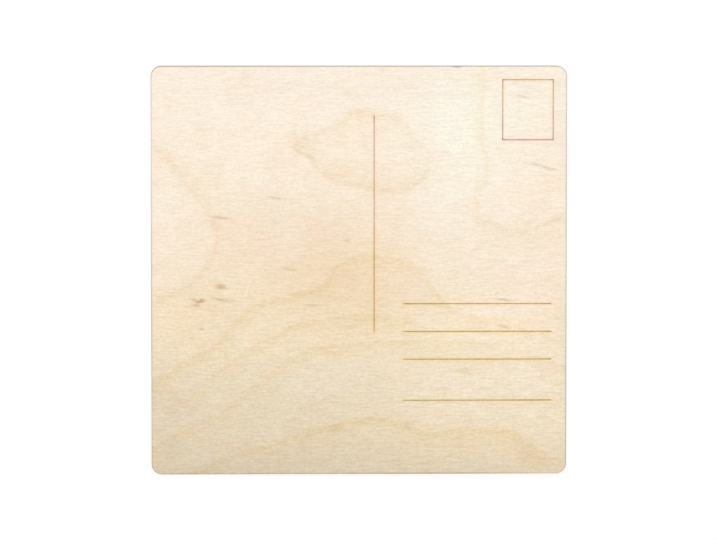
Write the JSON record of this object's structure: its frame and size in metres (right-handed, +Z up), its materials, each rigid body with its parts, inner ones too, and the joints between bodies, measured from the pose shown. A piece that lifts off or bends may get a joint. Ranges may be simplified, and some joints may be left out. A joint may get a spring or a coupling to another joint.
{
  "type": "wooden postcard",
  "caption": "Almost square plywood postcard with rounded corners and a scored writing side: stamp frame, dividing line and address lines.",
  "frame": {"origin": "middle of the flat picture side, which the card rests on", "axes": "+X along the address lines to the right, +Y towards the top edge with the stamp frame, +Z up out of the writing side"},
  "size_m": [0.14, 0.1378, 0.002],
  "materials": {
    "writing_veneer": "sanded birch, bare",
    "picture_veneer": "sanded birch, bare",
    "core_veneer": "rotary-cut birch, cut edge only",
    "glue": "cured resin"
  },
  "bodies": {
    "root": {"picture_side_veneer": "picture_veneer", "picture_side_glue_film": "glue", "core_veneer": "core_veneer", "writing_side_glue_film": "glue", "writing_side_veneer": "writing_veneer"}
  },
  "joints": []
}
